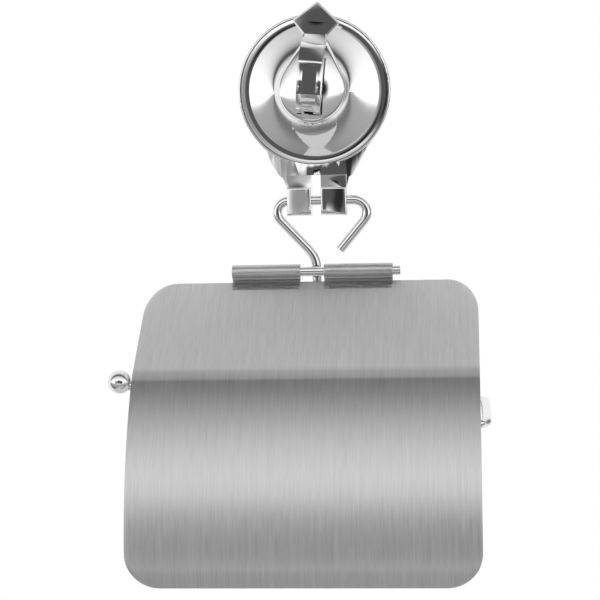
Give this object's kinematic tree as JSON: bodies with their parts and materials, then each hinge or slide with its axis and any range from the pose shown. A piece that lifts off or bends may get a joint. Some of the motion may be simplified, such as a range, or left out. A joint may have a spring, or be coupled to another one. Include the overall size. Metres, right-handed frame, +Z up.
{
  "type": "toilet paper holder",
  "caption": "Wall-mounted toilet paper holder: a lever-locked suction cup carries a bent-wire roll bar with a ball end and a hinged, curved sheet-metal cover.",
  "frame": {"origin": "centre of the suction face, in the wall plane", "axes": "+Z up, +Y into the wall, +X to the viewer's right when facing the wall"},
  "size_m": [0.1491, 0.0826, 0.2243],
  "materials": {
    "cup_rubber": "satin",
    "dome_chrome": "polished",
    "lever_chrome": "polished",
    "collar_chrome": "polished",
    "wire_chrome": "polished",
    "plain_steel": "satin",
    "stem_plastic": "matte",
    "brushed_cover": "brushed"
  },
  "bodies": {
    "mount": {"suction_cup": "cup_rubber", "dome_housing": "dome_chrome", "wear_plate": "plain_steel", "return_spring": "plain_steel"},
    "stem": {"stem": "stem_plastic"},
    "lever": {"lever": "lever_chrome", "lever_pin": "plain_steel"},
    "collar": {"collar": "collar_chrome"},
    "hanger": {"hanger_wire": "wire_chrome", "ball_end": "wire_chrome", "hinge_rod": "wire_chrome", "weld_bead": "wire_chrome"},
    "cover": {"cover": "brushed_cover"}
  },
  "joints": [
    {"name": "stem_slide", "type": "slide", "parent": "mount", "child": "stem", "axis": [0, 1, 0], "range_m": [0, 0.002], "deforming": ["return_spring", "suction_cup"]},
    {"name": "lever_pivot", "type": "hinge", "parent": "stem", "child": "lever", "pos_m": [0, -0.0243, 0], "axis": [0.9962, 0, -0.0872], "range_deg": [0, 90]},
    {"name": "collar_turn", "type": "hinge", "parent": "mount", "child": "collar", "pos_m": [0, 0, 0], "axis": [0, 1, 0], "range_deg": [-20, 20]},
    {"name": "hanger_swing", "type": "hinge", "parent": "collar", "child": "hanger", "pos_m": [0, -0.007, -0.045], "axis": [-1, 0, 0], "range_deg": [0, 20]},
    {"name": "cover_hinge", "type": "hinge", "parent": "hanger", "child": "cover", "pos_m": [0, -0.011, -0.074], "axis": [-1, 0, 0], "range_deg": [0, 85]}
  ],
  "couplings": [
    {"joint": "stem_slide", "follows": "lever_pivot", "m_per_rad": 0.0012732}
  ]
}
